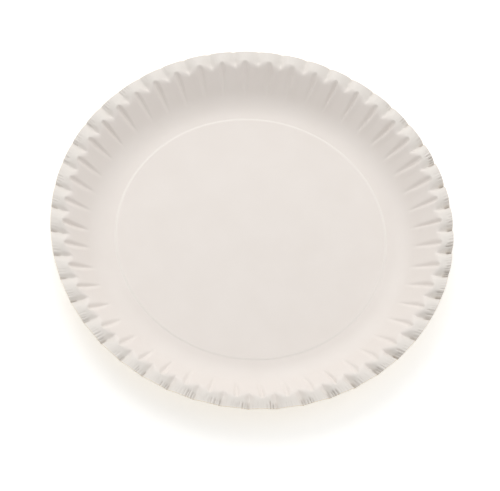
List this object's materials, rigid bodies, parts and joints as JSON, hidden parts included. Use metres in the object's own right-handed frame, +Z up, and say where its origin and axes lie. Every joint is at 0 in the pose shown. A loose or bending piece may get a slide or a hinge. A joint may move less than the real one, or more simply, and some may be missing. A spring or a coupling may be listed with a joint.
{
  "type": "paper plate",
  "caption": "Round pressed-board plate with a raised base, a sloping wall and a fluted, scalloped rim. Holds food, stands on a flat ring.",
  "frame": {"origin": "on the plate's axis, at the level of the surface it stands on", "axes": "+Z up along the plate's axis, +X through the middle of one groove and ridge of the rim"},
  "size_m": [0.23, 0.23, 0.019],
  "materials": {
    "paperboard": "matt white coating on warm white board"
  },
  "bodies": {
    "root": {"plate": "paperboard"}
  },
  "joints": []
}
